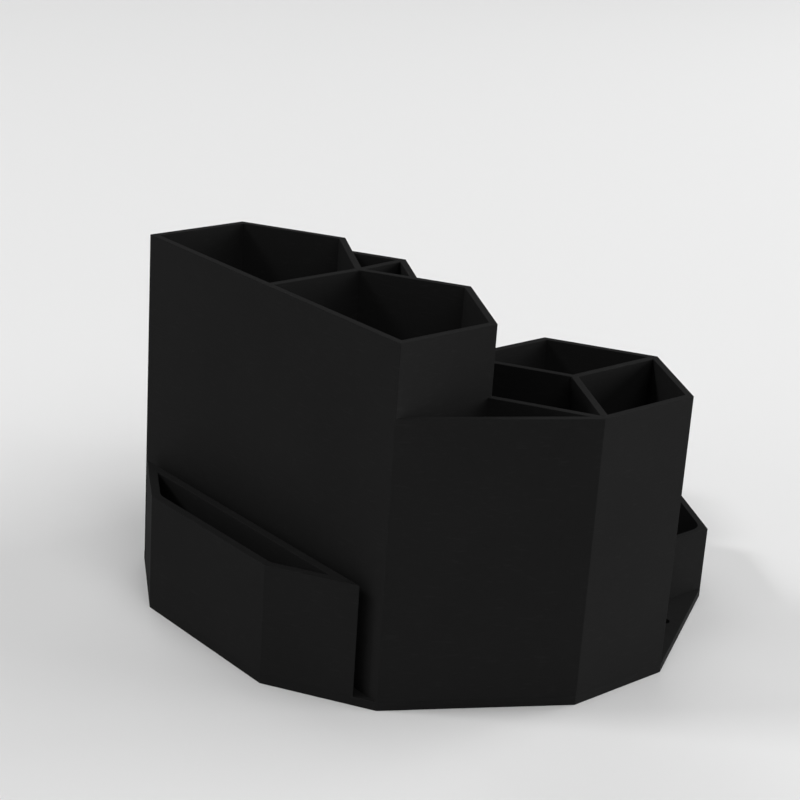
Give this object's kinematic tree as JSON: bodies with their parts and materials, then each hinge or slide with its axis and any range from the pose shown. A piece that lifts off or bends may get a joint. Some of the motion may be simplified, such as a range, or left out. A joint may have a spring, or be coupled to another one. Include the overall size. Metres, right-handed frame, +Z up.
{
  "type": "desk organizer with drawer",
  "caption": "Honeycomb desk organizer with hexagonal cups stepping down around a centre, a tall divided pen tower and a pull-out front drawer.",
  "frame": {"origin": "middle of the base plate's underside, on the desk, under the axis of the middle hexagon", "axes": "+Z up; the drawer opens towards -Y; +X to the right as seen from the drawer's side"},
  "size_m": [0.163, 0.1576, 0.1],
  "materials": {
    "cells": "satin",
    "plate": "satin",
    "tray": "satin",
    "drawer": "satin"
  },
  "bodies": {
    "body": {"base_plate": "plate", "tower_shell": "cells", "tower_floor": "cells", "tower_divider": "cells", "clip_shell": "cells", "clip_divider": "cells", "right_cup": "cells", "right_cup_divider": "cells", "pocket_panel": "cells", "left_cup": "cells", "rear_cup": "cells", "centre_panel": "cells", "side_tray": "tray", "drawer_guide_right": "cells", "drawer_guide_left": "cells"},
    "drawer": {"drawer_front": "drawer", "drawer_box": "drawer"}
  },
  "joints": [
    {"name": "drawer_slide", "type": "slide", "parent": "body", "child": "drawer", "axis": [0, -1, 0], "range_m": [0, 0.0245]}
  ]
}
